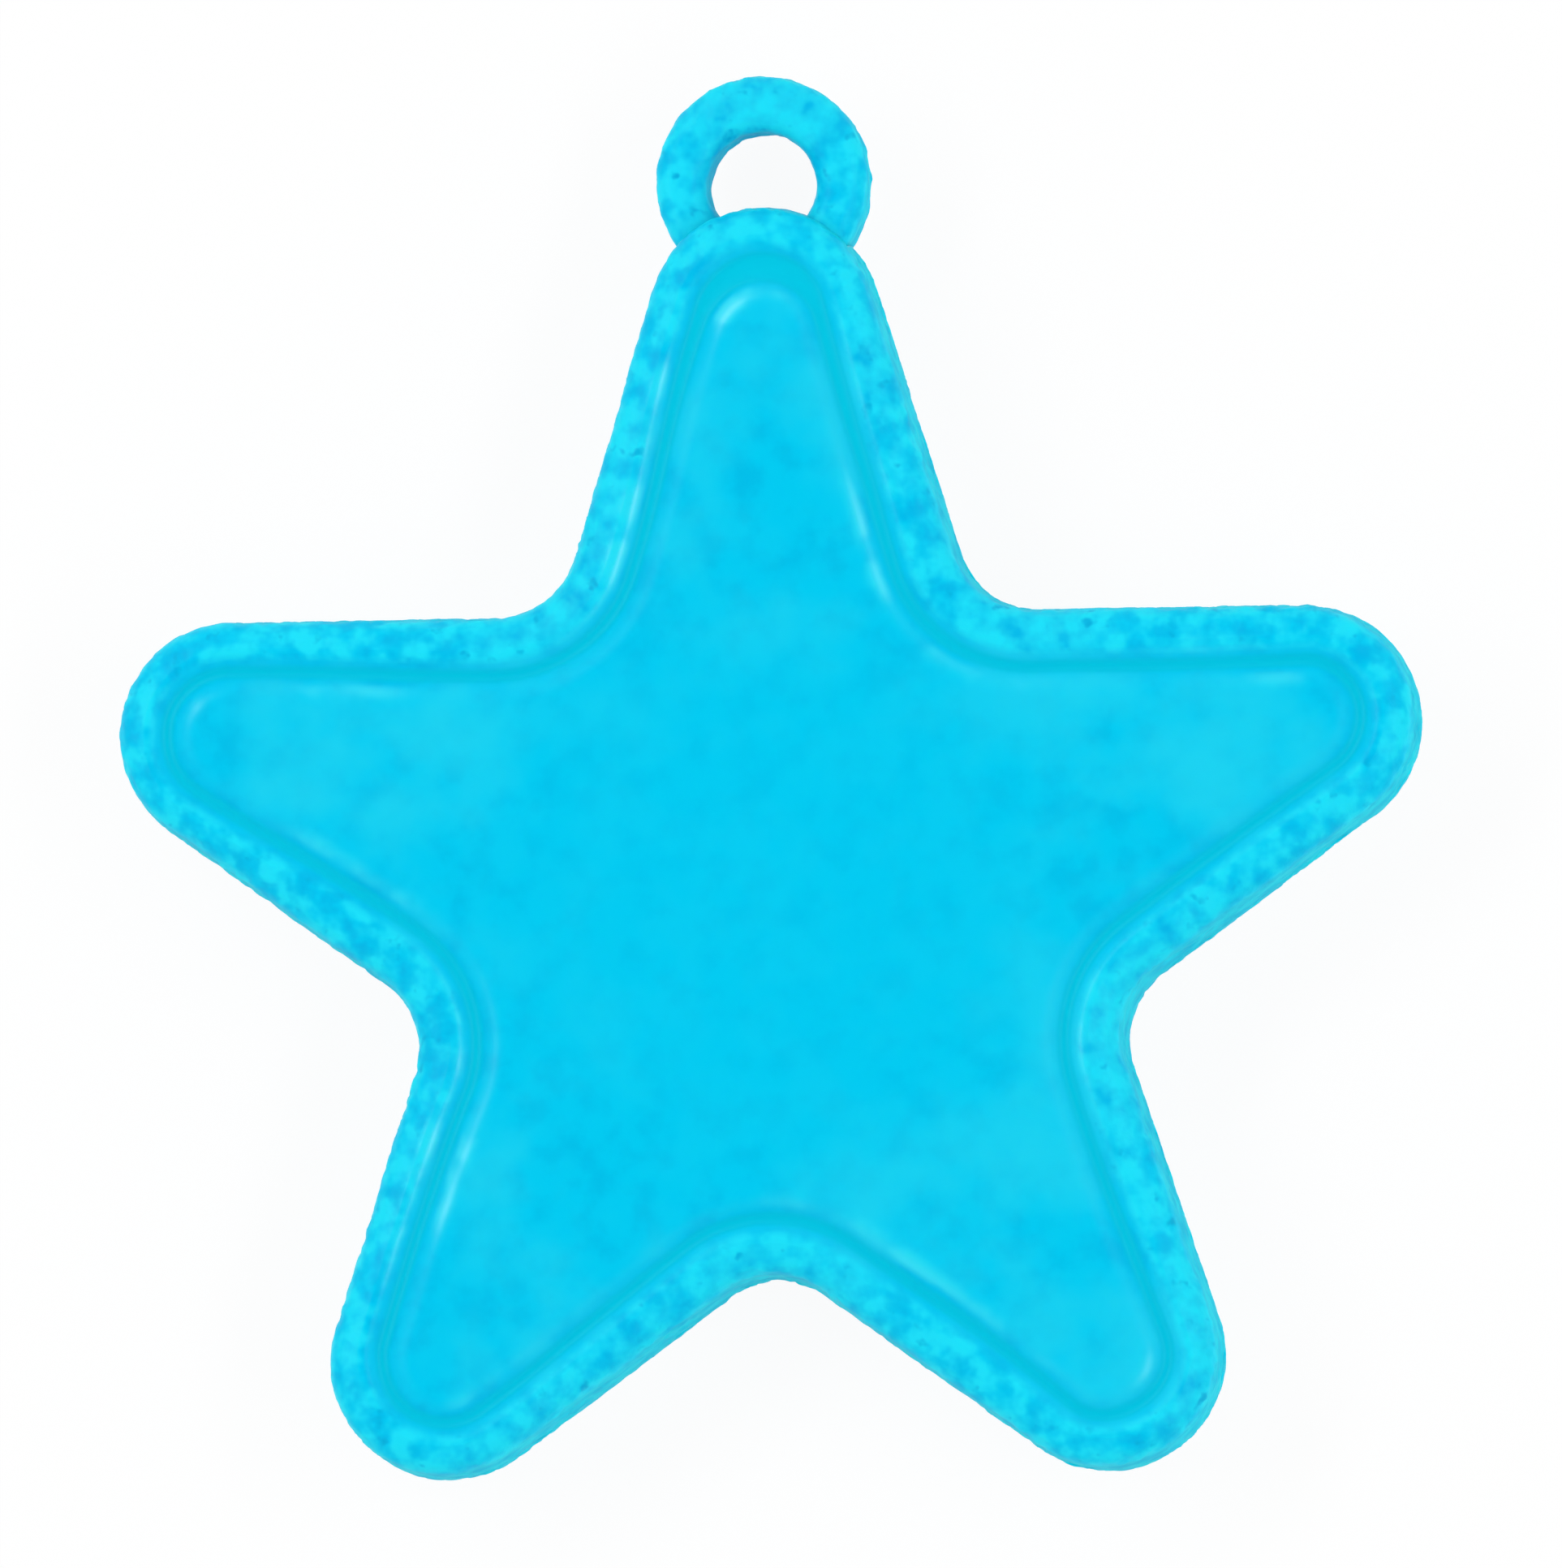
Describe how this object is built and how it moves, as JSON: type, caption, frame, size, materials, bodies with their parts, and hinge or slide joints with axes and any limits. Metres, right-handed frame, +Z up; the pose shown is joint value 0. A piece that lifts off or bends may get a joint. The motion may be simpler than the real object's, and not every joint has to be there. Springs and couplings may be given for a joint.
{
  "type": "balloon weight",
  "caption": "Star-shaped balloon weight: welded half shells with a pebbled rim, a groove and a smooth raised face, ballast inside, and a captive ring on one point for the ribbon.",
  "frame": {"origin": "on the surface the weight lies on, below the middle of the star, in the flat middle of the back shell's raised face", "axes": "+Z up out of the front face, +Y towards the arm with the hanging ring, +X to the right as seen from the front"},
  "size_m": [0.0522, 0.0561, 0.0076],
  "materials": {
    "front_plastic": "cyan moulded plastic, pebbled on the rim, smooth and glossy on the raised middle",
    "back_plastic": "cyan moulded plastic, pebbled on the rim, smooth and glossy on the raised middle",
    "ring_plastic": "cyan moulded plastic, pebbled all over, the same plastic as the shells",
    "ballast": "cast mineral filler, dull and slightly grainy"
  },
  "bodies": {
    "root": {"front_shell": "front_plastic", "back_shell": "back_plastic", "hanging_ring": "ring_plastic", "ballast_core": "ballast"}
  },
  "joints": []
}
